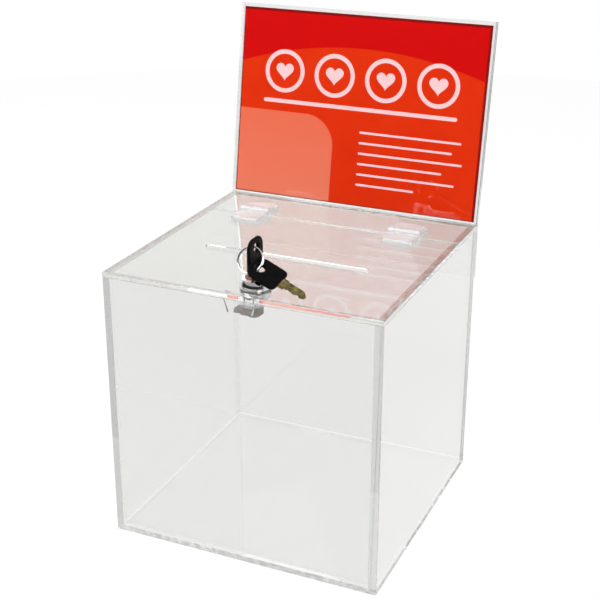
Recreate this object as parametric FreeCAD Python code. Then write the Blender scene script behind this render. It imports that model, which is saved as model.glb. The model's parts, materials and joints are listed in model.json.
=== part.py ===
import FreeCAD, Part
import math
import os

V = FreeCAD.Vector

# Box, outside sizes with the lid shut; front is -Y, origin under the middle of the base
BOX_WIDTH = 215.0
BOX_DEPTH = 210.0
BOX_HEIGHT = 215.0
WALL = 6.0
BASE_THICKNESS = 5.0
LID_THICKNESS = 4.0
BOND_GAP = 0.1
EDGE_BEVEL = 0.4

# Lid, fixed strip behind it and money slot
STRIP_DEPTH = 48.0
SEAM_GAP = 0.6
SEAT_GAP = 0.2
SLOT_MARGIN = 41.5
SLOT_WIDTH = 6.0
SLOT_SETBACK = 80.0

# Plastic hinges
HINGE_INSET = 43.5
HINGE_WIDTH = 25.0
LEAF_REACH = 21.0
LEAF_THICKNESS = 2.8
LEAF_CORNER = 3.0
LEAF_BEVEL = 1.2
KNUCKLE_RADIUS = 3.0
KNUCKLE_COUNT = 5
KNUCKLE_GAP = 0.35
KNUCKLE_LIFT = 0.25
PIN_RADIUS = 1.2
RUN_CLEARANCE = 0.05

# Sign holder leaning back from the rear of the strip
SIGN_LEAN = 9.0
SIGN_BACK_THICKNESS = 3.0
SIGN_FRONT_THICKNESS = 2.0
SIGN_BEND_RADIUS = 6.0
SIGN_FLANGE = 45.5
POCKET_GAP = 1.2
SPACER_SIDE = 2.2
SPACER_BASE = 1.2
SIGN_TOP_MARGIN = 3.0
INSERT_HEIGHT = 152.5
INSERT_THICKNESS = 0.5
INSERT_PLAY = 0.3

# Cam lock in the lid
LOCK_OFFSET = 4.6
LOCK_SETBACK = 20.5
HEAD_RADIUS = 11.25
HEAD_TOP_RADIUS = 9.4
HEAD_HEIGHT = 7.0
HEAD_RIM = 1.4
HEAD_LIP = 0.5
BODY_RADIUS = 9.0
BODY_FLATS = 15.6
HOLE_PLAY = 0.25
NUT_FLATS = 21.6
NUT_THICKNESS = 4.0
WASHER_RADIUS = 10.9
WASHER_THICKNESS = 0.8
PLUG_RADIUS = 6.0
PLUG_CAP_RADIUS = 7.4
PLUG_CAP = 2.0
TAIL_SIDE = 6.4
CAM_THICKNESS = 2.4
CAM_WIDTH = 12.5
CAM_BOSS = 6.8
BOSS_HEIGHT = 4.0
CAM_TIP_GAP = 0.7
CAM_PLAY = 0.9
AXIAL_PLAY = 0.2
SCREW_RADIUS = 2.0
SCREW_LENGTH = 4.0
SCREW_HEAD_RADIUS = 5.2
SCREW_HEAD = 2.0

# Catch in the middle of the front panel's inside, above the locked cam
CATCH_THICKNESS = 3.0
CATCH_HEIGHT = 11.3
CATCH_TOP_WIDTH = 25.5
CATCH_BOTTOM_WIDTH = 18.3

# Keys and the split ring that joins them
BOW_WIDTH = 21.5
BOW_HEIGHT = 24.5
BOW_THICKNESS = 2.4
BOW_CORNER = 4.0
BOW_CROWN = 7.5
BOW_BEVEL = 0.5
BOW_HOLE_RADIUS = 4.0
BOW_HOLE_INSET = 6.8
NECK_WIDTH = 8.6
NECK_LENGTH = 4.1
NECK_GAP = 0.4
BLADE_WIDTH = 7.0
BLADE_THICKNESS = 2.0
BLADE_LENGTH = 20.0
BLADE_POINT = 3.0
TANG_LENGTH = 9.0
TANG_THICKNESS = 1.2
CUT_LAND = 0.8
CUT_COUNT = 4
CUT_PITCH = 2.5
CUT_DEPTH = 2.2
GROOVE_WIDTH = 1.6
GROOVE_DEPTH = 0.6
KEYWAY_PLAY = 0.15
KEYWAY_FLOOR = 0.6
RING_RADIUS = 9.3
WIRE_RADIUS = 0.5
WIRE_GAP = 0.45
WIRE_FORWARD = 1.94
WIRE_UP = 0.56
SPARE_SEAT = 0.49

# How the ring hangs from the upright key and the spare key lies on it, in degrees
RING_TILT = 34.7
RING_END = 197.0
SPARE_PLACE = 57.6
SPARE_HEADING = 2.5
SPARE_DIP = 23.0
SPARE_ROLL = 15.0

# Levels and faces that follow from the sizes above
half_w = BOX_WIDTH / 2
half_d = BOX_DEPTH / 2
inner_x = half_w - WALL
front_in = WALL - half_d
lid_bottom = BOX_HEIGHT - LID_THICKNESS
wall_bottom = BASE_THICKNESS + BOND_GAP
wall_top = lid_bottom - SEAT_GAP
pin_y = half_d - STRIP_DEPTH - SEAM_GAP / 2
leaf_bottom = BOX_HEIGHT + BOND_GAP
pin_z = leaf_bottom + KNUCKLE_LIFT + KNUCKLE_RADIUS
lock_y = LOCK_SETBACK - half_d
head_top = BOX_HEIGHT + HEAD_HEIGHT
catch_bottom = wall_top - CATCH_HEIGHT
cam_top = catch_bottom - CAM_PLAY
cam_bottom = cam_top - CAM_THICKNESS
boss_top = cam_top + BOSS_HEIGHT
body_bottom = boss_top + AXIAL_PLAY
shoulder_z = head_top + NECK_GAP + NECK_LENGTH
lean = math.radians(SIGN_LEAN)
sign_width = BOX_WIDTH
insert_width = sign_width - 2 * (SPACER_SIDE + INSERT_PLAY)
made = []


def block(x0, x1, y0, y1, z0, z1):
    return Part.makeBox(x1 - x0, y1 - y0, z1 - z0, V(x0, y0, z0))


def extruded(points, along):
    return Part.Face(Part.makePolygon(points + points[:1])).extrude(along)


def rounded(shape, radius, chosen):
    return shape.makeFillet(radius, [edge for edge in shape.Edges if chosen(edge)])


def bevelled(shape, width, chosen):
    return shape.makeChamfer(width, [edge for edge in shape.Edges if chosen(edge)])


def runs_along(edge, axis):
    return abs(edge.tangentAt(edge.FirstParameter).dot(axis)) > 0.999


def level(edge, height):
    box = edge.BoundBox
    return abs(box.ZMin - height) < 1e-4 and abs(box.ZMax - height) < 1e-4


def save(name, shape):
    shape.exportStep("parts/" + name + ".step")
    made.append((name, shape))


# Panels of the box

def bottom_panel():
    panel = block(-half_w, half_w, -half_d, half_d, 0, BASE_THICKNESS)
    return bevelled(panel, EDGE_BEVEL, lambda e: runs_along(e, V(0, 0, 1)) or level(e, 0))


def side_panel(side):
    x0, x1 = sorted((side * inner_x, side * half_w))
    panel = block(x0, x1, -half_d, half_d, wall_bottom, wall_top)
    outer = lambda e: runs_along(e, V(0, 0, 1)) and abs(e.BoundBox.XMin - side * half_w) < 0.01
    return bevelled(panel, EDGE_BEVEL, outer)


def cross_panel(side):
    reach = inner_x - BOND_GAP
    y0, y1 = sorted((side * half_d, side * (half_d - WALL)))
    return block(-reach, reach, y0, y1, wall_bottom, wall_top)


def slot_cutter():
    y = SLOT_SETBACK - half_d
    radius = SLOT_WIDTH / 2
    straight = half_w - SLOT_MARGIN - radius
    z0 = lid_bottom - 1
    deep = LID_THICKNESS + 2
    cutter = block(-straight, straight, y - radius, y + radius, z0, z0 + deep)
    for end in (-straight, straight):
        cutter = cutter.fuse(Part.makeCylinder(radius, deep, V(end, y, z0)))
    return cutter.removeSplitter()


def double_d(radius, flats, z0, z1):
    round_bar = Part.makeCylinder(radius, z1 - z0, V(LOCK_OFFSET, lock_y, z0))
    slab = block(-flats / 2, flats / 2, -2 * radius, 2 * radius, z0, z1)
    slab.translate(V(LOCK_OFFSET, lock_y, 0))
    return round_bar.common(slab)


def lid():
    panel = block(-half_w, half_w, -half_d, pin_y - SEAM_GAP / 2, lid_bottom, BOX_HEIGHT)
    panel = bevelled(panel, EDGE_BEVEL, lambda e: level(e, BOX_HEIGHT) or level(e, lid_bottom))
    hole = double_d(BODY_RADIUS + HOLE_PLAY, BODY_FLATS + 2 * HOLE_PLAY, lid_bottom - 1, BOX_HEIGHT + 1)
    return panel.cut(slot_cutter()).cut(hole)


def hinge_strip():
    panel = block(-half_w, half_w, pin_y + SEAM_GAP / 2, half_d, lid_bottom, BOX_HEIGHT)
    return bevelled(panel, EDGE_BEVEL, lambda e: level(e, BOX_HEIGHT))


# Hinges: side +1 is the leaf on the strip, side -1 the leaf on the lid

def on_pin_line(radius, x0, x1):
    return Part.makeCylinder(radius, x1 - x0, V(x0, pin_y, pin_z), V(1, 0, 0))


def hinge_leaf(middle, side):
    plate_start = KNUCKLE_RADIUS + KNUCKLE_GAP
    x0 = middle - HINGE_WIDTH / 2
    y0, y1 = sorted((pin_y + side * plate_start, pin_y + side * LEAF_REACH))
    leaf = block(x0, x0 + HINGE_WIDTH, y0, y1, leaf_bottom, leaf_bottom + LEAF_THICKNESS)
    far_y = pin_y + side * LEAF_REACH
    at_far = lambda e: abs(e.BoundBox.YMin - far_y) < 0.01 and abs(e.BoundBox.YMax - far_y) < 0.01
    leaf = rounded(leaf, LEAF_CORNER, lambda e: runs_along(e, V(0, 0, 1)) and at_far(e))
    leaf_top = leaf_bottom + LEAF_THICKNESS
    past_knuckle = lambda e: side * (e.CenterOfMass.y - pin_y) > plate_start + 0.1
    leaf = bevelled(leaf, LEAF_BEVEL, lambda e: level(e, leaf_top) and past_knuckle(e))
    pitch = HINGE_WIDTH / KNUCKLE_COUNT
    first = 0 if side > 0 else 1
    for index in range(first, KNUCKLE_COUNT, 2):
        start = x0 + index * pitch + (KNUCKLE_GAP / 2 if index > 0 else 0)
        end = x0 + (index + 1) * pitch - (KNUCKLE_GAP / 2 if index < KNUCKLE_COUNT - 1 else 0)
        web_y0, web_y1 = sorted((pin_y, pin_y + side * (plate_start + 2 * LEAF_BEVEL)))
        web = block(start, end, web_y0, web_y1, leaf_bottom, leaf_top)
        leaf = leaf.fuse(web).fuse(on_pin_line(KNUCKLE_RADIUS, start, end))
    bore = on_pin_line(PIN_RADIUS + RUN_CLEARANCE, x0 - 1, x0 + HINGE_WIDTH + 1)
    return leaf.cut(bore).removeSplitter()


def hinge_pin(middle):
    return on_pin_line(PIN_RADIUS, middle - HINGE_WIDTH / 2, middle + HINGE_WIDTH / 2)


# Sign holder: points on its slope are given by height s up the slope and distance d off its front face

bend_y = half_d + BOND_GAP + SIGN_BACK_THICKNESS + SIGN_BEND_RADIUS
slope_up = V(0, math.sin(lean), math.cos(lean))
slope_out = V(0, -math.cos(lean), math.sin(lean))
slope_foot = V(0, bend_y, BOX_HEIGHT) + slope_out * (SIGN_BEND_RADIUS + SIGN_BACK_THICKNESS)


def height_on_strip(d):
    return (leaf_bottom - slope_foot.z - d * math.sin(lean)) / math.cos(lean)


spacer_foot = height_on_strip(BOND_GAP)
pocket_floor = spacer_foot + SPACER_BASE + BOND_GAP
sign_height = pocket_floor + INSERT_HEIGHT + SIGN_TOP_MARGIN


def on_slope(x, s, d):
    return V(x, 0, 0) + slope_foot + slope_up * s + slope_out * d


def slope_block(x0, x1, s0, s1, d0, d1):
    section = [on_slope(x0, s0, d0), on_slope(x0, s1, d0), on_slope(x0, s1, d1), on_slope(x0, s0, d1)]
    return extruded(section, V(x1 - x0, 0, 0))


def bend_arc(radius):
    def at(angle):
        return V(-sign_width / 2, bend_y - radius * math.cos(angle), BOX_HEIGHT + radius * math.sin(angle))

    return Part.Arc(at(0), at(lean / 2), at(lean)).toShape()


def sign_back_plate():
    x = -sign_width / 2
    front = bend_arc(SIGN_BEND_RADIUS + SIGN_BACK_THICKNESS)
    rear = bend_arc(SIGN_BEND_RADIUS)
    down = V(0, 0, -SIGN_FLANGE)
    front_foot = front.Vertexes[0].Point
    rear_foot = rear.Vertexes[0].Point
    front_top = on_slope(x, sign_height, 0)
    rear_top = on_slope(x, sign_height, -SIGN_BACK_THICKNESS)
    lines = [
        Part.makeLine(front_foot + down, front_foot),
        front,
        Part.makeLine(front.Vertexes[-1].Point, front_top),
        Part.makeLine(front_top, rear_top),
        Part.makeLine(rear_top, rear.Vertexes[-1].Point),
        rear,
        Part.makeLine(rear_foot, rear_foot + down),
        Part.makeLine(rear_foot + down, front_foot + down),
    ]
    section = Part.Face(Part.Wire(Part.__sortEdges__(lines)))
    return section.extrude(V(sign_width, 0, 0))


def sign_front_plate():
    foot = height_on_strip(POCKET_GAP)
    reach = POCKET_GAP + SIGN_FRONT_THICKNESS
    return slope_block(-sign_width / 2, sign_width / 2, foot, sign_height, POCKET_GAP, reach)


def sign_base_spacer():
    half = sign_width / 2
    top = spacer_foot + SPACER_BASE
    return slope_block(-half, half, spacer_foot, top, BOND_GAP, POCKET_GAP - BOND_GAP)


def sign_side_spacer(side):
    x0, x1 = sorted((side * (sign_width / 2 - SPACER_SIDE), side * sign_width / 2))
    return slope_block(x0, x1, pocket_floor, sign_height, BOND_GAP, POCKET_GAP - BOND_GAP)


def sign_insert():
    half = insert_width / 2
    top = pocket_floor + INSERT_HEIGHT
    d0 = (POCKET_GAP - INSERT_THICKNESS) / 2
    return slope_block(-half, half, pocket_floor, top, d0, d0 + INSERT_THICKNESS)


# Lock

def turned(outline):
    return Part.Face(Part.Wire(outline)).revolve(V(LOCK_OFFSET, lock_y, 0), V(0, 0, 1), 360)


def at_lock(radius, z):
    return V(LOCK_OFFSET + radius, lock_y, z)


def lock_bar(radius, z0, z1):
    return Part.makeCylinder(radius, z1 - z0, V(LOCK_OFFSET, lock_y, z0))


def lock_square(side, z0, z1):
    half = side / 2
    return block(LOCK_OFFSET - half, LOCK_OFFSET + half, lock_y - half, lock_y + half, z0, z1)


def lock_housing():
    rim_z = leaf_bottom + HEAD_RIM
    crown = at_lock(HEAD_TOP_RADIUS, head_top)
    bulge = at_lock(HEAD_RADIUS - 0.3 * (HEAD_RADIUS - HEAD_TOP_RADIUS), (rim_z + head_top) / 2)
    seat = PLUG_CAP_RADIUS + RUN_CLEARANCE
    outline = [
        Part.makeLine(at_lock(0, leaf_bottom), at_lock(HEAD_RADIUS, leaf_bottom)),
        Part.makeLine(at_lock(HEAD_RADIUS, leaf_bottom), at_lock(HEAD_RADIUS, rim_z)),
        Part.Arc(at_lock(HEAD_RADIUS, rim_z), bulge, crown).toShape(),
        Part.makeLine(crown, at_lock(0, head_top)),
        Part.makeLine(at_lock(0, head_top), at_lock(0, leaf_bottom)),
    ]
    head = turned(outline)
    head = bevelled(head, HEAD_LIP, lambda e: level(e, head_top) and e.BoundBox.XLength > HEAD_TOP_RADIUS)
    body = double_d(BODY_RADIUS, BODY_FLATS, body_bottom, leaf_bottom + HEAD_RIM)
    housing = head.fuse(body)
    housing = housing.cut(lock_bar(seat, head_top - PLUG_CAP - AXIAL_PLAY, head_top + 1))
    housing = housing.cut(lock_bar(PLUG_RADIUS + RUN_CLEARANCE, body_bottom - 1, head_top))
    return housing.removeSplitter()


def lock_washer():
    top = lid_bottom - BOND_GAP
    ring = lock_bar(WASHER_RADIUS, top - WASHER_THICKNESS, top)
    return ring.cut(lock_bar(BODY_RADIUS + HOLE_PLAY, top - WASHER_THICKNESS - 1, top + 1))


def lock_nut():
    top = lid_bottom - 2 * BOND_GAP - WASHER_THICKNESS
    across = NUT_FLATS / math.sqrt(3)
    corner = lambda k: V(
        LOCK_OFFSET + across * math.cos(math.radians(60 * k)),
        lock_y + across * math.sin(math.radians(60 * k)),
        top - NUT_THICKNESS,
    )
    nut = extruded([corner(k) for k in range(6)], V(0, 0, NUT_THICKNESS))
    return nut.cut(lock_bar(BODY_RADIUS + RUN_CLEARANCE, top - NUT_THICKNESS - 1, top + 1))


def lock_plug():
    plug = lock_bar(PLUG_RADIUS, boss_top, head_top)
    plug = plug.fuse(lock_bar(PLUG_CAP_RADIUS, head_top - PLUG_CAP, head_top))
    plug = plug.fuse(lock_square(TAIL_SIDE, cam_bottom + BOND_GAP, boss_top))
    half_x = BLADE_THICKNESS / 2 + KEYWAY_PLAY
    half_y = BLADE_WIDTH / 2 + KEYWAY_PLAY
    floor = shoulder_z - BLADE_LENGTH - KEYWAY_FLOOR
    keyway = block(-half_x, half_x, -half_y, half_y, floor, head_top + 1)
    keyway.translate(V(LOCK_OFFSET, lock_y, 0))
    drill = lock_bar(SCREW_RADIUS + RUN_CLEARANCE, cam_bottom - 1, cam_bottom + SCREW_LENGTH + BOND_GAP)
    return plug.cut(keyway).cut(drill).removeSplitter()


def lock_cam():
    reach = LOCK_SETBACK - WALL - CAM_TIP_GAP
    arm = block(-reach, 0, -CAM_WIDTH / 2, CAM_WIDTH / 2, cam_bottom, cam_top)
    arm.translate(V(LOCK_OFFSET, lock_y, 0))
    arm = arm.common(lock_bar(reach, cam_bottom, cam_top))
    cam = arm.fuse(lock_bar(CAM_BOSS, cam_bottom, boss_top)).removeSplitter()
    return cam.cut(lock_square(TAIL_SIDE + 2 * RUN_CLEARANCE, cam_bottom - 1, boss_top + 1))


def cam_screw():
    head_z = cam_bottom - BOND_GAP - SCREW_HEAD
    screw = lock_bar(SCREW_HEAD_RADIUS, head_z, cam_bottom - BOND_GAP)
    screw = bevelled(screw, SCREW_HEAD / 3, lambda e: level(e, head_z))
    screw = screw.fuse(lock_bar(SCREW_RADIUS, cam_bottom - 2 * BOND_GAP, cam_bottom + SCREW_LENGTH))
    arm = SCREW_HEAD_RADIUS / 2
    width = SCREW_HEAD / 4
    for x, y in ((arm, width), (width, arm)):
        recess = block(-x, x, -y, y, head_z - 1, head_z + SCREW_HEAD / 2)
        recess.translate(V(LOCK_OFFSET, lock_y, 0))
        screw = screw.cut(recess)
    return screw.removeSplitter()


def lock_catch():
    y = front_in + BOND_GAP
    top = CATCH_TOP_WIDTH / 2
    low = CATCH_BOTTOM_WIDTH / 2
    corners = [
        V(-top, y, wall_top),
        V(top, y, wall_top),
        V(low, y, catch_bottom),
        V(-low, y, catch_bottom),
    ]
    return extruded(corners, V(0, CATCH_THICKNESS, 0))


# Keys, drawn with the shoulder at the origin, the bow up +Z and the plate's thickness along X

def key_bow():
    half = BOW_WIDTH / 2
    bow = block(-BOW_THICKNESS / 2, BOW_THICKNESS / 2, -half, half, 0, BOW_HEIGHT)
    bow = rounded(bow, BOW_CORNER, lambda e: runs_along(e, V(1, 0, 0)) and level(e, 0))
    bow = rounded(bow, BOW_CROWN, lambda e: runs_along(e, V(1, 0, 0)) and level(e, BOW_HEIGHT))
    bow = bevelled(bow, BOW_BEVEL, lambda e: e.BoundBox.XLength < 0.01)
    hole_z = BOW_HEIGHT - BOW_HOLE_INSET
    hole = Part.makeCylinder(BOW_HOLE_RADIUS, 2 * BOW_THICKNESS, V(-BOW_THICKNESS, 0, hole_z), V(1, 0, 0))
    half_x = TANG_THICKNESS / 2 + RUN_CLEARANCE
    half_y = BLADE_WIDTH / 2 + RUN_CLEARANCE
    pocket = block(-half_x, half_x, -half_y, half_y, -1, TANG_LENGTH + RUN_CLEARANCE)
    return bow.cut(hole).cut(pocket)


def key_blade():
    half = BLADE_WIDTH / 2
    x = BLADE_THICKNESS / 2
    neck = NECK_WIDTH / 2
    land = half - CUT_LAND
    outline = [
        V(-x, -neck, -RUN_CLEARANCE),
        V(-x, neck, -RUN_CLEARANCE),
        V(-x, neck, -NECK_LENGTH),
        V(-x, land, -NECK_LENGTH),
        V(-x, land, BLADE_POINT - BLADE_LENGTH),
        V(-x, half - BLADE_POINT, -BLADE_LENGTH),
        V(-x, BLADE_POINT - half, -BLADE_LENGTH),
        V(-x, -half, BLADE_POINT - BLADE_LENGTH),
        V(-x, -half, -NECK_LENGTH),
        V(-x, -neck, -NECK_LENGTH),
    ]
    blade = extruded(outline, V(BLADE_THICKNESS, 0, 0))
    tang_x = TANG_THICKNESS / 2
    blade = blade.fuse(block(-tang_x, tang_x, -half, half, -NECK_LENGTH, TANG_LENGTH))
    for index in range(CUT_COUNT):
        deep = CUT_DEPTH * (0.55 + 0.45 * math.cos(2.4 * index))
        z = BLADE_POINT - BLADE_LENGTH + (index + 1) * CUT_PITCH
        notch = [V(-2 * x, half - deep, z - 0.4), V(-2 * x, half - deep, z + 0.4)]
        notch += [V(-2 * x, half + 0.1, z + 0.5 + deep), V(-2 * x, half + 0.1, z - 0.5 - deep)]
        blade = blade.cut(extruded(notch, V(4 * x, 0, 0)))
    groove_y = GROOVE_WIDTH / 2
    groove = block(x - GROOVE_DEPTH, x + 1, -groove_y, groove_y, -BLADE_LENGTH - 1, -NECK_LENGTH)
    groove.translate(V(0, -half / 2, 0))
    return blade.cut(groove).removeSplitter()


def placed(shape, origin, x_dir, y_dir, z_dir):
    frame = FreeCAD.Matrix(
        x_dir.x, y_dir.x, z_dir.x, origin.x,
        x_dir.y, y_dir.y, z_dir.y, origin.y,
        x_dir.z, y_dir.z, z_dir.z, origin.z,
        0, 0, 0, 1,
    )
    moved = shape.copy()
    moved.Placement = FreeCAD.Placement(frame)
    return moved


def in_lock(shape):
    return placed(shape, V(LOCK_OFFSET, lock_y, shoulder_z), V(1, 0, 0), V(0, 1, 0), V(0, 0, 1))


# Split ring through both bow holes, and the spare key hanging on it

tilt = math.radians(RING_TILT)
hang = V(0, -math.sin(tilt), -math.cos(tilt))
ring_axis = V(0, -math.cos(tilt), math.sin(tilt))
bow_hole = V(LOCK_OFFSET, lock_y, shoulder_z + BOW_HEIGHT - BOW_HOLE_INSET)
ring_centre = bow_hole + V(0, -WIRE_FORWARD, WIRE_UP) + hang * RING_RADIUS


def on_ring(angle):
    turn = math.radians(angle)
    return V(math.cos(turn), 0, 0) - hang * math.sin(turn)


def biarc(a, b, along_a, along_b):
    span = b - a
    both = along_a + along_b
    p = 2 * (along_a.dot(along_b) - 1)
    q = -2 * span.dot(both)
    reach = (-q - math.sqrt(q * q - 4 * p * span.dot(span))) / (2 * p)
    near = a + along_a * reach
    far = b - along_b * reach
    joint = (near + far) * 0.5
    arcs = []
    for start, corner, end in ((a, near, joint), (joint, far, b)):
        weight = (end - start).Length / 2 / reach
        middle = (start + corner * (2 * weight) + end) * (1 / (2 + 2 * weight))
        arcs.append(Part.Arc(start, middle, end).toShape())
    return arcs


def key_ring():
    pitch = 2 * WIRE_RADIUS + WIRE_GAP
    quarter = math.pi / 2

    def place(t):
        return V(RING_RADIUS * math.cos(t), RING_RADIUS * math.sin(t), pitch * (t / math.tau - 1))

    def heading(t):
        return V(-RING_RADIUS * math.sin(t), RING_RADIUS * math.cos(t), pitch / math.tau).normalize()

    def corner(k):
        return V(WIRE_RADIUS * math.cos(k * quarter / 2), 0, WIRE_RADIUS * math.sin(k * quarter / 2))

    arcs = []
    for index in range(8):
        t0, t1 = index * quarter, (index + 1) * quarter
        arcs += biarc(place(t0), place(t1), heading(t0), heading(t1))
    path = Part.Wire(arcs)
    section = [place(0) + corner(0.5 - k) for k in range(8)]
    coil = path.makePipe(Part.Face(Part.makePolygon(section + section[:1])))
    points = path.discretize(481)
    apart = min(points[i].distanceToPoint(points[j]) for i in range(241) for j in range(i + 120, 481))
    print("least gap between the turns of the ring", round(apart - 2 * WIRE_RADIUS, 3))
    area = 2 * math.sqrt(2) * WIRE_RADIUS ** 2
    print("ring volume over section times length", round(coil.Volume / area / path.Length, 4))
    return placed(coil, ring_centre, on_ring(RING_END), on_ring(RING_END + 90), ring_axis)


def on_spare(shape):
    heading = math.radians(SPARE_HEADING)
    dip = math.radians(SPARE_DIP)
    roll = math.radians(SPARE_ROLL)
    to_tip = V(math.cos(dip) * math.cos(heading), -math.cos(dip) * math.sin(heading), -math.sin(dip))
    across = V(-math.sin(heading), -math.cos(heading), 0)
    across = across * math.cos(roll) - across.cross(to_tip) * math.sin(roll)
    to_bow = to_tip * -1
    hole = ring_centre + on_ring(SPARE_PLACE - 90) * RING_RADIUS + to_tip * SPARE_SEAT
    origin = hole + to_tip * (BOW_HEIGHT - BOW_HOLE_INSET)
    return placed(shape, origin, across.cross(to_bow), across, to_bow)


os.makedirs("parts", exist_ok=True)
save("bottom_panel", bottom_panel())
save("left_panel", side_panel(-1))
save("right_panel", side_panel(1))
save("front_panel", cross_panel(-1))
save("back_panel", cross_panel(1))
save("hinge_strip", hinge_strip())
save("lid", lid())
for place, sign in (("left", -1), ("right", 1)):
    centre = sign * (half_w - HINGE_INSET)
    save(place + "_hinge_fixed_leaf", hinge_leaf(centre, 1))
    save(place + "_hinge_lid_leaf", hinge_leaf(centre, -1))
    save(place + "_hinge_pin", hinge_pin(centre))
    save("sign_spacer_" + place, sign_side_spacer(sign))
save("sign_spacer_base", sign_base_spacer())
save("sign_back_plate", sign_back_plate())
save("sign_front_plate", sign_front_plate())
save("sign_insert", sign_insert())
save("lock_housing", lock_housing())
save("lock_washer", lock_washer())
save("lock_nut", lock_nut())
save("lock_plug", lock_plug())
save("lock_cam", lock_cam())
save("cam_screw", cam_screw())
save("lock_catch", lock_catch())
save("key_bow", in_lock(key_bow()))
save("key_blade", in_lock(key_blade()))
save("key_ring", key_ring())
save("spare_key_bow", on_spare(key_bow()))
save("spare_key_blade", on_spare(key_blade()))
for name, shape in made:
    solids = len(shape.Solids)
    print(name, "solids", solids, "valid", shape.isValid(), "volume", round(shape.Volume, 1))
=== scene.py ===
import json
import math

import bmesh
import bpy
from mathutils import Matrix, Vector

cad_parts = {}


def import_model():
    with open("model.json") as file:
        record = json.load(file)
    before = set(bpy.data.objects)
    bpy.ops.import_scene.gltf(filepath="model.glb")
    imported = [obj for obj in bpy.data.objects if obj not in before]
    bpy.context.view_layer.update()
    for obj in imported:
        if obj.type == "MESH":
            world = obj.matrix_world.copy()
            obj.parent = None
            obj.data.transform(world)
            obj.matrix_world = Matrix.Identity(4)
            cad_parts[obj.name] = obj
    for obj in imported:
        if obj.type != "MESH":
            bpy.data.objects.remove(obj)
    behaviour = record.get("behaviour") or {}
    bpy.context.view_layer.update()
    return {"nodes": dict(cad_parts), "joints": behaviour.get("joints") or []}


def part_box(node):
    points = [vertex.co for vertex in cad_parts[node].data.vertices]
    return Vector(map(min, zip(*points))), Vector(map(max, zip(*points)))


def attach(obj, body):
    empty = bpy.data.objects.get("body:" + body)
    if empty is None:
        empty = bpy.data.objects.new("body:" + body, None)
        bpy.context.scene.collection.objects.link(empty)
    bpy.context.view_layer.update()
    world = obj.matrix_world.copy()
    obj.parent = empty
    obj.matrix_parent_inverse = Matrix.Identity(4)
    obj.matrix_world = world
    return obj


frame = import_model()
nodes = frame["nodes"]

ACROSS = (1, 0, 0)
BACK = (0, 1, 0)
UP = (0, 0, 1)
WHITE = (1, 1, 1)

# Card, with its slope and size from the frame, in metres
SLOPE_UP = Vector(next(joint["axis"] for joint in frame["joints"] if joint["name"] == "insert_slide"))
SLOPE_OUT = Vector((0, -SLOPE_UP.z, SLOPE_UP.y))
CARD_LOW, CARD_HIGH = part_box("sign_insert")
CARD_THICKNESS = 0.0005
CARD_WIDTH = CARD_HIGH.x - CARD_LOW.x
CARD_HEIGHT = (CARD_HIGH.z - CARD_LOW.z - CARD_THICKNESS * SLOPE_UP.y) / SLOPE_UP.z

# Ground of the card, measured across from its middle and up from its foot
CARD_REDS = ((0.74, 0.022, 0.0005), (0.80, 0.040, 0.002))
SWEEP_RED = (0.66, 0.0008, 0.0008)
SWEEP_UP = 0.126
SWEEP_FALL = 1.6
SWEEP_BLUR = 0.0008
CORNER_CORALS = ((0.89, 0.22, 0.13), (0.86, 0.17, 0.09))
CORNER_ACROSS = -0.045
CORNER_UP = 0.045
CORNER_RADIUS = 0.025
CORNER_BLUR = 0.0006
CORNER_FADE = 0.07
# Painted shade: a dark red band along the card's edges
EDGE_SHADE_RED = (0.24, 0.004, 0.003)
BORDER = 0.0004
BORDER_BLUR = 0.0008
BORDER_EXTRA = 0.0012

# Print on the card: coins with hearts over a slot, and ruled lines
INK_DEPTH = 0.00005
COIN_PLACES = (-0.066, -0.022, 0.022, 0.066)
COIN_UP = 0.103
COIN_RADIUS = 0.0175
COIN_INSIDE = 0.0140
COIN_STEPS = 56
HEART_UP = 0.1035
HEART_SIZE = 0.0078
HEART_WAVES = (13, -5, -2, -1)
HEART_SPAN = 16
HEART_STEPS = 48
SLOT_REACH = 0.082
SLOT_UP = 0.0785
SLOT_THICK = 0.0032
RULE_START = 0.004
RULE_ENDS = (0.088, 0.081, 0.090, 0.074, 0.085, 0.052)
RULE_TOP = 0.060
RULE_STEP = 0.0085
RULE_THICK = 0.0018
BAR_STEPS = 10

# Thread on the lock body, which fades out just above the lid's underside
THREAD_PITCH = 0.001
THREAD_FADE = 0.0002
THREAD_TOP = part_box("lid")[0].z + THREAD_FADE

# Acrylic: tints of faces, edges, bevels and body, and how far a normal looks along the sheet's own on each.
# The lid's tint, the edge tints and the bevel tint hold painted shade
SHEET_TINT = (0.876, 0.876, 0.868)
# Painted shade: the lid and hinge strip are tinted darker than the walls, though they are the same acrylic
LID_SHADE_TINT = (0.80, 0.80, 0.775)
PLATE_TINT = (0.985, 0.985, 0.98)
# Painted shade: the sawn edges of the walls and the base are tinted dark, standing in for the shade seen in
# them
EDGE_SHADE_TINT = (0.63, 0.635, 0.63)
# Painted light: the right panel's edges take a lighter copy of the painted edge shade
RIGHT_EDGE_LIGHTER_SHADE_TINT = (0.75, 0.755, 0.75)
BASE_EDGE_SHADE_TINT = (0.58, 0.585, 0.575)
BASE_BEADS = (0.86, 0.865, 0.86)
CLEAR_EDGE = (0.98, 0.98, 0.97)
# Painted shade: bevels are tinted dark, drawing thin dark lines along the edges
BEVEL_SHADE_TINT = (0.52, 0.53, 0.52)
BODY_TINT = (0.86, 0.865, 0.855)
BODY_DENSITY = 5.0
EDGE_TO_FACE = (0.75, 0.97)
BEVEL_FACING = math.sqrt(0.5)
BEVEL_BLUR = (0.08, 0.2)
BEAD_BLUR = (0.46, 0.56)

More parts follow.
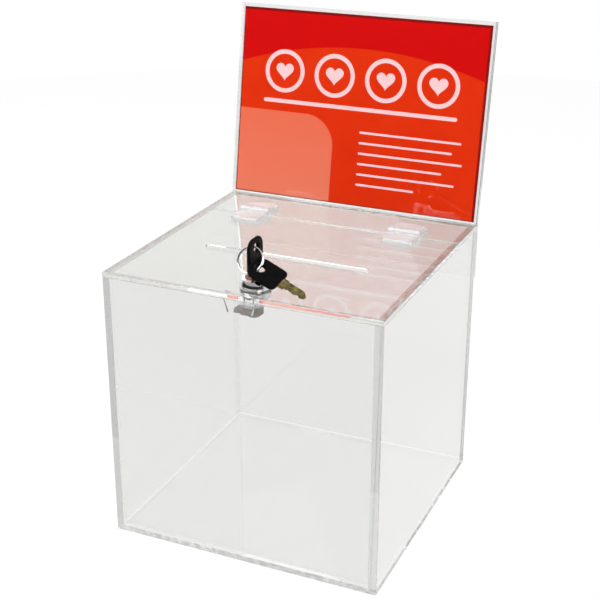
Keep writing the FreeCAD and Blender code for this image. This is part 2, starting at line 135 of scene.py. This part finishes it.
# Floor, world, lamps and camera
FLOOR_RADIUS = 1.6
FLOOR_DROP = 0.0003
FLOOR_STEPS = 96
FLOOR_GLOW = 1.1
FLOOR_GLOW_SHARE = 0.75
WORLD_LIGHT = 0.6
LOW_FRONT_TONE = (0.03, 0.03, 0.03)
FRONT_TONE = (0.45, 0.45, 0.45)
BACK_TONE = (1.15, 1.15, 1.15)
TOP_TONE = (0.9, 0.9, 0.9)
LOW_TO_HIGH = (0.15, 0.28)
FRONT_TO_BACK = (-0.35, 0.35)
SIDE_TO_TOP = (0.55, 0.85)
LAMP_AIM = (0, 0, 0.15)
LAMP_SIZE = 1.2
CAMERA_LENS = 75.84
CAMERA_SENSOR = 36.0
CAMERA_PLACE = (0.3633, -0.8162, 0.5460)
CAMERA_RIGHT = Vector((0.91367, 0.40646, 0.00205))
CAMERA_DOWN = Vector((0.15882, -0.35234, -0.92230))
CAMERA_AHEAD = Vector((-0.37415, 0.84300, -0.38647))
LIGHT_BOUNCES = 64
CLEAR_BOUNCES = 32


# Node helpers

class Nodes:
    """Short calls to add nodes to the tree of a material or a world."""

    def __init__(self, owner, output):
        owner.use_nodes = True
        self.owner = owner
        self.tree = owner.node_tree
        self.tree.nodes.clear()
        self.output = self.add(output)
        self.coords = None

    def add(self, kind, **settings):
        node = self.tree.nodes.new(kind)
        for key, value in settings.items():
            setattr(node, key, value)
        return node

    def link(self, source, target):
        if isinstance(source, (int, float)):
            target.default_value = source
        else:
            self.tree.links.new(source, target)

    def coordinate(self, name):
        if self.coords is None:
            self.coords = self.add("ShaderNodeTexCoord")
        return self.coords.outputs[name]

    def spread(self, source, low, high, start=0.3, end=0.7, smooth=False):
        """Maps start to end onto low to high, and holds both ends."""
        node = self.add("ShaderNodeMapRange", interpolation_type="SMOOTHSTEP" if smooth else "LINEAR")
        node.inputs["From Min"].default_value = start
        node.inputs["From Max"].default_value = end
        node.inputs["To Min"].default_value = low
        node.inputs["To Max"].default_value = high
        self.link(source, node.inputs["Value"])
        return node.outputs["Result"]

    def maths(self, operation, a, b=0.0):
        node = self.add("ShaderNodeMath", operation=operation)
        self.link(a, node.inputs[0])
        self.link(b, node.inputs[1])
        return node.outputs[0]

    def along(self, source, direction):
        node = self.add("ShaderNodeVectorMath", operation="DOT_PRODUCT")
        node.inputs[1].default_value = direction
        self.link(source, node.inputs[0])
        return node.outputs["Value"]

    def blend(self, share, a, b):
        node = self.add("ShaderNodeMix", data_type="RGBA")
        self.link(share, node.inputs["Factor"])
        for socket, colour in ((node.inputs["A"], a), (node.inputs["B"], b)):
            if isinstance(colour, tuple):
                socket.default_value = (*colour, 1)
            else:
                self.link(colour, socket)
        return node.outputs["Result"]

    def mix_shaders(self, share, a, b):
        node = self.add("ShaderNodeMixShader")
        self.link(share, node.inputs["Fac"])
        self.link(a.outputs[0], node.inputs[1])
        self.link(b.outputs[0], node.inputs[2])
        return node

    def in_sight(self):
        """1 for rays that look at something: from the camera, mirrored or passing through."""
        path = self.add("ShaderNodeLightPath")
        sight = self.maths("MAXIMUM", path.outputs["Is Camera Ray"], path.outputs["Is Glossy Ray"])
        return self.maths("MAXIMUM", sight, path.outputs["Is Transmission Ray"])


class Paint(Nodes):
    """A material with a Principled shader."""

    def __init__(self, name):
        super().__init__(bpy.data.materials.new(name), "ShaderNodeOutputMaterial")
        self.shader = self.add("ShaderNodeBsdfPrincipled")
        self.finish(self.shader)

    def finish(self, shader):
        self.link(shader.outputs[0], self.output.inputs["Surface"])
        return self.owner

    def set(self, **values):
        for key, value in values.items():
            self.shader.inputs[key.replace("_", " ")].default_value = value

    def feed(self, **sources):
        for key, source in sources.items():
            self.link(source, self.shader.inputs[key.replace("_", " ")])

    def facing(self, direction):
        """How far the surface looks along a direction, either way."""
        return self.maths("ABSOLUTE", self.along(self.coordinate("Normal"), direction))

    def noise(self, scale, detail=3.0, rough=0.55, stretch=(1, 1, 1)):
        mapping = self.add("ShaderNodeMapping")
        mapping.inputs["Scale"].default_value = stretch
        self.link(self.coordinate("Object"), mapping.inputs["Vector"])
        node = self.add("ShaderNodeTexNoise")
        node.inputs["Scale"].default_value = scale
        node.inputs["Detail"].default_value = detail
        node.inputs["Roughness"].default_value = rough
        self.link(mapping.outputs["Vector"], node.inputs["Vector"])
        return node.outputs["Fac"]

    def bump(self, source, strength, distance):
        node = self.add("ShaderNodeBump")
        node.inputs["Strength"].default_value = strength
        node.inputs["Distance"].default_value = distance
        self.link(source, node.inputs["Height"])
        self.link(node.outputs["Normal"], self.shader.inputs["Normal"])

    def let_lamps_through(self, tint):
        """Lamps shine through the piece, so that it throws only a faint shadow."""
        path = self.add("ShaderNodeLightPath")
        through = self.add("ShaderNodeBsdfTransparent")
        through.inputs["Color"].default_value = (*tint, 1)
        return self.finish(self.mix_shaders(path.outputs["Is Shadow Ray"], self.shader, through))


# Materials

def clear_sheet(name, face_axis, tint, edge_shade_tint, bead_tint=None, top_tint=None):
    """Polished acrylic with faint handling marks on its faces and finely sawn edges.

    bead_tint puts beads of cement on the edges, and top_tint is for edges that look up or down. The edge tint
    is painted shade, darker than the faces; top_tint keeps the level edges clearer than the upright ones.
    """
    paint = Paint(name)
    paint.set(IOR=1.49, Transmission_Weight=1.0)
    facing = paint.facing(face_axis)
    edge = paint.spread(facing, 1.0, 0.0, *EDGE_TO_FACE)
    # Painted shade: the bevels found here take the dark bevel tint below
    off_bevel = paint.maths("ABSOLUTE", paint.maths("SUBTRACT", facing, BEVEL_FACING))
    bevel = paint.spread(off_bevel, 1.0, 0.0, *BEVEL_BLUR)
    marks = paint.spread(paint.noise(38.0, detail=4.0), 0.0, 0.012)
    saw = paint.spread(paint.noise(420.0, detail=2.0), 0.02, 0.08)
    paint.feed(Roughness=paint.maths("ADD", marks, paint.maths("MULTIPLY", edge, saw)))
    if bead_tint:
        beads = paint.spread(paint.noise(300.0, detail=1.0), 0.0, 1.0, *BEAD_BLUR)
        edge_shade_tint = paint.blend(beads, edge_shade_tint, bead_tint)
    if top_tint:
        level = paint.spread(paint.facing(UP), 0.0, 1.0, *EDGE_TO_FACE)
        edge_shade_tint = paint.blend(level, edge_shade_tint, top_tint)
    # Painted shade: the edges take a darker tint than the faces
    paint.feed(Base_Color=paint.blend(bevel, paint.blend(edge, tint, edge_shade_tint), BEVEL_SHADE_TINT))
    inside = paint.add("ShaderNodeVolumeAbsorption")
    inside.inputs["Color"].default_value = (*BODY_TINT, 1)
    inside.inputs["Density"].default_value = BODY_DENSITY
    paint.link(inside.outputs[0], paint.output.inputs["Volume"])
    return paint.let_lamps_through((0.93, 0.93, 0.93))


def milky_plastic(name):
    """Moulded clear plastic with a milky body and soft flow marks."""
    paint = Paint(name)
    paint.set(IOR=1.46, Transmission_Weight=0.72)
    flow = paint.noise(210.0, rough=0.5, stretch=(1, 0.35, 1))
    paint.feed(Base_Color=paint.blend(flow, (0.93, 0.935, 0.94), (0.99, 0.99, 0.99)))
    paint.feed(Roughness=paint.spread(flow, 0.06, 0.2))
    paint.bump(flow, strength=0.3, distance=0.0002)
    return paint.let_lamps_through((0.88, 0.885, 0.89))


def metal(name, colour, dull, polish, wear, grain, stretch, depth):
    """Plated metal with fine polishing lines and small stains."""
    paint = Paint(name)
    paint.set(Metallic=1.0)
    stain = paint.noise(260.0, detail=4.0)
    lines = paint.noise(grain, rough=0.6, stretch=stretch)
    paint.feed(Base_Color=paint.blend(paint.spread(stain, 0.0, 1.0), dull, colour))
    worn = paint.maths("ADD", paint.spread(lines, 0.0, wear), paint.spread(stain, 0.0, wear / 2))
    paint.feed(Roughness=paint.maths("ADD", worn, polish))
    paint.bump(lines, strength=depth, distance=0.00002)
    return paint.owner


def threaded_chrome(name):
    """Polished chrome, with screw threads on the part of the body that is below the lid, their grooves
    painted dark as shade.
    """
    paint = Paint(name)
    paint.set(Metallic=1.0)
    height = paint.along(paint.coordinate("Object"), UP)
    turns = paint.maths("SINE", paint.maths("MULTIPLY", height, 2 * math.pi / THREAD_PITCH))
    below = paint.spread(height, 1.0, 0.0, THREAD_TOP - THREAD_FADE, THREAD_TOP)
    thread_and_shade = paint.maths("MULTIPLY", paint.spread(turns, 0.0, 1.0, -0.6, 0.6), below)
    haze = paint.noise(260.0, detail=4.0)
    plate = paint.blend(paint.spread(haze, 0.0, 1.0), (0.72, 0.73, 0.75), (0.84, 0.85, 0.86))
    # Painted shade: the grooves of the screw threads are coloured dark
    paint.feed(Base_Color=paint.blend(thread_and_shade, plate, (0.16, 0.16, 0.17)))
    hazy = paint.spread(haze, 0.03, 0.09)
    paint.feed(Roughness=paint.maths("ADD", hazy, paint.maths("MULTIPLY", thread_and_shade, 0.2)))
    ripple = paint.maths("MULTIPLY", paint.noise(120.0, detail=2.0), 0.35)
    paint.bump(paint.maths("SUBTRACT", ripple, thread_and_shade), strength=0.35, distance=0.0002)
    return paint.owner


def moulded(name, colour, worn, rough):
    """Moulded plastic with a fine spark texture and uneven wear."""
    paint = Paint(name)
    paint.set(Specular_IOR_Level=0.04)
    grain = paint.noise(2600.0, detail=2.0, rough=0.5)
    patch = paint.noise(150.0, detail=4.0)
    paint.feed(Base_Color=paint.blend(paint.spread(patch, 0.0, 1.0), colour, worn))
    paint.feed(Roughness=paint.spread(patch, rough, rough + 0.16))
    paint.bump(grain, strength=0.25, distance=0.00004)
    return paint.owner


def card_place(paint):
    """Distances across the card from its middle and up it from its foot, in metres."""
    where = paint.coordinate("Object")
    foot = Vector((0, CARD_LOW.y, CARD_LOW.z)).dot(SLOPE_UP)
    return paint.along(where, ACROSS), paint.maths("SUBTRACT", paint.along(where, SLOPE_UP), foot)


def card_sweep(paint, across, up):
    """1 above a curve that falls to both sides, along the top of the card."""
    fall = paint.maths("MULTIPLY", paint.maths("MULTIPLY", across, across), SWEEP_FALL)
    above = paint.maths("ADD", paint.maths("SUBTRACT", up, SWEEP_UP), fall)
    return paint.spread(above, 0.0, 1.0, 0.0, SWEEP_BLUR)


def card_corner(paint, across, up):
    """1 in a panel with one round corner, at the card's lower left."""
    aside = paint.maths("MAXIMUM", paint.maths("SUBTRACT", across, CORNER_ACROSS), 0.0)
    above = paint.maths("MAXIMUM", paint.maths("SUBTRACT", up, CORNER_UP), 0.0)
    squares = paint.maths("ADD", paint.maths("MULTIPLY", aside, aside), paint.maths("MULTIPLY", above, above))
    return paint.spread(paint.maths("SQRT", squares), 1.0, 0.0, CORNER_RADIUS, CORNER_RADIUS + CORNER_BLUR)


def card_edge_shade(paint, across, up):
    """1 where painted shade darkens the card along its edges, in a wider band at its top and right."""
    right = paint.maths("SUBTRACT", CARD_WIDTH / 2 - BORDER_EXTRA, across)
    side = paint.maths("MINIMUM", right, paint.maths("ADD", across, CARD_WIDTH / 2))
    ends = paint.maths("MINIMUM", up, paint.maths("SUBTRACT", CARD_HEIGHT - BORDER_EXTRA, up))
    return paint.spread(paint.maths("MINIMUM", side, ends), 1.0, 0.0, BORDER, BORDER + BORDER_BLUR)


def printed_card(name):
    """Red card with a darker sweep along its top, a coral corner and painted shade along its edges."""
    paint = Paint(name)
    paint.set(Specular_IOR_Level=0.04)
    across, up = card_place(paint)
    fibre = paint.noise(900.0)
    red = paint.blend(paint.noise(26.0, detail=2.0), *CARD_REDS)
    red = paint.blend(card_sweep(paint, across, up), red, SWEEP_RED)
    coral = paint.blend(paint.spread(up, 0.0, 1.0, 0.0, CORNER_FADE), *CORNER_CORALS)
    ground = paint.blend(card_corner(paint, across, up), red, coral)
    paint.feed(Base_Color=paint.blend(card_edge_shade(paint, across, up), ground, EDGE_SHADE_RED))
    paint.feed(Roughness=paint.spread(fibre, 0.42, 0.55))
    paint.bump(fibre, strength=0.08, distance=0.00003)
    return paint.owner


def print_ink(name):
    """Pale matt ink with fine specks."""
    paint = Paint(name)
    paint.set(Specular_IOR_Level=0.08)
    speck = paint.noise(1400.0)
    paint.feed(Base_Color=paint.blend(speck, (0.93, 0.60, 0.62), (0.98, 0.70, 0.72)))
    paint.feed(Roughness=paint.spread(speck, 0.4, 0.55))
    paint.bump(speck, strength=0.1, distance=0.00003)
    return paint.owner


def floor_white(name):
    """Matt white floor, with a glow for the rays that look at it."""
    paint = Paint(name)
    paint.set(Roughness=0.9, Specular_IOR_Level=0.0)
    paint.feed(Base_Color=paint.blend(paint.noise(6.0), (0.86, 0.86, 0.86), (0.9, 0.9, 0.9)))
    glow = paint.add("ShaderNodeEmission")
    glow.inputs["Strength"].default_value = FLOOR_GLOW
    share = paint.maths("MULTIPLY", paint.in_sight(), FLOOR_GLOW_SHARE)
    return paint.finish(paint.mix_shaders(share, paint.shader, glow))


def assign(material, *names):
    for name in names:
        for slot in nodes[name].material_slots:
            slot.material = material


def dress_box():
    assign(clear_sheet("acrylic_base", UP, SHEET_TINT, BASE_EDGE_SHADE_TINT, bead_tint=BASE_BEADS), "bottom_panel")
    assign(clear_sheet("acrylic_lid", UP, LID_SHADE_TINT, CLEAR_EDGE), "lid", "hinge_strip")
    wall = clear_sheet("acrylic_front", BACK, SHEET_TINT, EDGE_SHADE_TINT, top_tint=CLEAR_EDGE)
    assign(wall, "front_panel", "back_panel")
    assign(clear_sheet("acrylic_catch", BACK, PLATE_TINT, CLEAR_EDGE), "lock_catch")
    assign(clear_sheet("acrylic_left", ACROSS, SHEET_TINT, EDGE_SHADE_TINT, top_tint=CLEAR_EDGE), "left_panel")
    assign(clear_sheet("acrylic_right", ACROSS, SHEET_TINT, RIGHT_EDGE_LIGHTER_SHADE_TINT, top_tint=CLEAR_EDGE), "right_panel")
    sign = clear_sheet("acrylic_sign", SLOPE_OUT, PLATE_TINT, CLEAR_EDGE)
    assign(sign, "sign_back_plate", "sign_front_plate")
    assign(sign, "sign_spacer_left", "sign_spacer_right", "sign_spacer_base")
    hinge = milky_plastic("hinge_plastic")
    for side in ("left", "right"):
        assign(hinge, side + "_hinge_fixed_leaf", side + "_hinge_lid_leaf", side + "_hinge_pin")
    assign(printed_card("printed_card"), "sign_insert")


def dress_lock():
    zinc = metal(
        "zinc_steel", colour=(0.30, 0.28, 0.255), dull=(0.10, 0.095, 0.088),
        polish=0.08, wear=0.12, grain=900.0, stretch=(1, 1, 8), depth=0.2,
    )
    assign(zinc, "lock_washer", "lock_cam", "cam_screw", "lock_plug")
    chrome = metal(
        "nut_chrome", colour=(0.80, 0.81, 0.82), dull=(0.66, 0.67, 0.69),
        polish=0.06, wear=0.06, grain=700.0, stretch=(1, 1, 6), depth=0.1,
    )
    assign(chrome, "lock_nut")
    assign(threaded_chrome("lock_chrome"), "lock_housing")


def dress_keys():
    nickel = metal(
        "ring_nickel", colour=(0.86, 0.86, 0.86), dull=(0.72, 0.72, 0.72),
        polish=0.1, wear=0.1, grain=1500.0, stretch=(1, 1, 1), depth=0.1,
    )
    assign(nickel, "key_ring")
    brass = metal(
        "key_brass", colour=(0.34, 0.27, 0.11), dull=(0.07, 0.055, 0.022),
        polish=0.12, wear=0.14, grain=420.0, stretch=(1, 1, 3), depth=0.9,
    )
    assign(brass, "key_blade", "spare_key_blade")
    black = moulded("key_plastic", colour=(0.0012, 0.0012, 0.0013), worn=(0.004, 0.004, 0.0043), rough=0.3)
    assign(black, "key_bow", "spare_key_bow")


# Print on the card

def new_object(name, data):
    made = bpy.data.objects.new(name, data)
    bpy.context.collection.objects.link(made)
    return made


def circle(x, up, radius):
    """Points around a circle on the card."""
    turns = [2 * math.pi * k / COIN_STEPS for k in range(COIN_STEPS)]
    return [(x + radius * math.cos(t), up + radius * math.sin(t)) for t in turns]


def heart(x, up, size):
    """Points around a heart on the card."""
    points = []
    for k in range(HEART_STEPS):
        t = 2 * math.pi * k / HEART_STEPS
        rise = sum(height * math.cos((wave + 1) * t) for wave, height in enumerate(HEART_WAVES))
        points.append((x - size * math.sin(t) ** 3, up + size * rise / HEART_SPAN))
    return points


def bar(x0, x1, up, thick):
    """Points around a bar with round ends on the card."""
    arc = [math.pi * (k / BAR_STEPS - 0.5) for k in range(BAR_STEPS + 1)]
    half = thick / 2
    right = [(x1 + half * math.cos(t), up + half * math.sin(t)) for t in arc]
    left = [(x0 - half * math.cos(t), up - half * math.sin(t)) for t in arc]
    return right + left


def card_print():
    """Thin films of ink on the front of the card."""
    foot = Vector((0, CARD_LOW.y, CARD_LOW.z + CARD_THICKNESS * SLOPE_OUT.z))
    shape = bmesh.new()

    def on_card(point, depth):
        return foot + Vector((point[0], 0, 0)) + SLOPE_UP * point[1] + SLOPE_OUT * depth

    def ring_of(points, depth):
        return [shape.verts.new(on_card(point, depth)) for point in points]

    def walls(a, b):
        for k in range(len(a)):
            shape.faces.new((a[k - 1], a[k], b[k], b[k - 1]))

    def film(points):
        front = ring_of(points, INK_DEPTH)
        back = ring_of(points, -INK_DEPTH)
        shape.faces.new(front)
        shape.faces.new(back[::-1])
        walls(back, front)

    def hoop(points, hollow):
        sides = [ring_of(edge, depth) for depth in (INK_DEPTH, -INK_DEPTH) for edge in (points, hollow)]
        for a, b in ((0, 2), (1, 0), (3, 1), (2, 3)):
            walls(sides[b], sides[a])

    for place in COIN_PLACES:
        hoop(circle(place, COIN_UP, COIN_RADIUS), circle(place, COIN_UP, COIN_INSIDE))
        film(heart(place, HEART_UP, HEART_SIZE))
    film(bar(-SLOT_REACH, SLOT_REACH, SLOT_UP, SLOT_THICK))
    for line, end in enumerate(RULE_ENDS):
        film(bar(RULE_START, end, RULE_TOP - RULE_STEP * line, RULE_THICK))
    bmesh.ops.recalc_face_normals(shape, faces=shape.faces)
    mesh = bpy.data.meshes.new("card_print")
    shape.to_mesh(mesh)
    shape.free()
    mesh.materials.append(print_ink("print_ink"))
    made = new_object("card_print", mesh)
    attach(made, "insert")


# Floor, world, lamps and camera

def floor():
    turns = [2 * math.pi * step / FLOOR_STEPS for step in range(FLOOR_STEPS)]
    rim = [(FLOOR_RADIUS * math.cos(t), FLOOR_RADIUS * math.sin(t), -FLOOR_DROP) for t in turns]
    mesh = bpy.data.meshes.new("floor")
    mesh.from_pydata(rim, [], [range(FLOOR_STEPS)])
    mesh.materials.append(floor_white("floor_white"))
    made = new_object("floor", mesh)


def world():
    """White all round, but mirrored rays see bright tones behind and above and dark ones low in front."""
    studio = Nodes(bpy.data.worlds.new("studio"), "ShaderNodeOutputWorld")
    way = studio.coordinate("Generated")
    rise = studio.along(way, UP)
    raised = studio.spread(rise, 0.0, 1.0, *LOW_TO_HIGH, smooth=True)
    behind = studio.spread(studio.along(way, BACK), 0.0, 1.0, *FRONT_TO_BACK, smooth=True)
    overhead = studio.spread(rise, 0.0, 1.0, *SIDE_TO_TOP, smooth=True)
    front = studio.blend(raised, LOW_FRONT_TONE, FRONT_TONE)
    tone = studio.blend(overhead, studio.blend(behind, front, BACK_TONE), TOP_TONE)
    path = studio.add("ShaderNodeLightPath")
    mirrored = studio.maths("GREATER_THAN", path.outputs["Glossy Depth"], 0.5)
    shown = studio.add("ShaderNodeBackground")
    studio.link(studio.blend(mirrored, WHITE, tone), shown.inputs["Color"])
    lit = studio.add("ShaderNodeBackground")
    lit.inputs["Color"].default_value = (*WHITE, 1)
    lit.inputs["Strength"].default_value = WORLD_LIGHT
    both = studio.mix_shaders(studio.in_sight(), lit, shown)
    studio.link(both.outputs[0], studio.output.inputs["Surface"])
    bpy.context.scene.world = studio.owner


def lamp(name, place, power):
    data = bpy.data.lights.new(name, "AREA")
    data.shape = "SQUARE"
    data.size = LAMP_SIZE
    data.energy = power
    made = new_object(name, data)
    made.location = place
    made.rotation_euler = (Vector(LAMP_AIM) - Vector(place)).to_track_quat("-Z", "Y").to_euler()


def camera():
    data = bpy.data.cameras.new("camera")
    data.lens = CAMERA_LENS
    data.sensor_width = CAMERA_SENSOR
    made = new_object("camera", data)
    turn = Matrix((CAMERA_RIGHT, -CAMERA_DOWN, -CAMERA_AHEAD)).transposed()
    made.matrix_world = Matrix.Translation(CAMERA_PLACE) @ turn.to_4x4()
    bpy.context.scene.camera = made


dress_box()
dress_lock()
dress_keys()
card_print()
floor()
world()
lamp("key_lamp", place=(-0.9, -0.9, 1.6), power=16.0)
lamp("fill_lamp", place=(1.3, -0.7, 1.1), power=9.0)
camera()

scene = bpy.context.scene
scene.view_settings.view_transform = "Standard"
scene.cycles.max_bounces = LIGHT_BOUNCES
scene.cycles.transmission_bounces = LIGHT_BOUNCES
scene.cycles.glossy_bounces = LIGHT_BOUNCES
scene.cycles.transparent_max_bounces = CLEAR_BOUNCES
